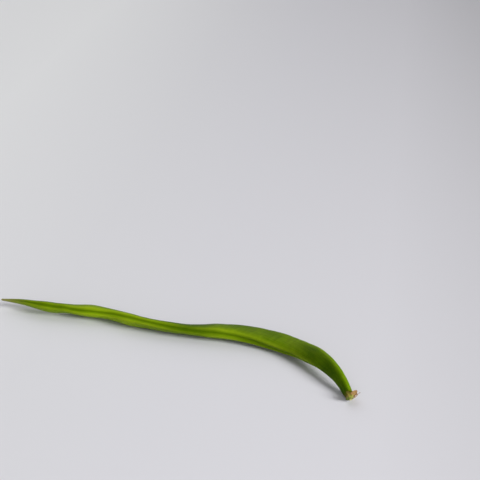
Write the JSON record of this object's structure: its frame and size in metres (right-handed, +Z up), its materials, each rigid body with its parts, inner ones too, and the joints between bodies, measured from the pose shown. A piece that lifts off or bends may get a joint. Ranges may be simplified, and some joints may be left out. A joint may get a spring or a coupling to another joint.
{
  "type": "runner bean",
  "caption": "Long slender green bean pod, curved and twisted, with a tapered beak and a withered flower cup at its stem end, lying flat as picked.",
  "frame": {"origin": "on the surface that the bean lies on, below the middle of its box", "axes": "+X from the beak to the stem end, +Z up, -Y to the side that the hollow of the last bend faces"},
  "size_m": [0.265, 0.0458, 0.0143],
  "materials": {
    "pod_skin": "satin green skin with a fine velvet sheen",
    "stalk_flesh": "pale yellow-green, fibrous",
    "withered_cup": "dry and papery, tan to brown",
    "olive_scale": "dry, olive brown",
    "tan_scale": "dry, tan",
    "dry_thread": "dry, pinkish brown"
  },
  "bodies": {
    "root": {"pod": "pod_skin", "pedicel_stub": "stalk_flesh", "calyx": "withered_cup", "bracteole_front": "olive_scale", "bracteole_side": "tan_scale", "withered_filament": "dry_thread"}
  },
  "joints": []
}
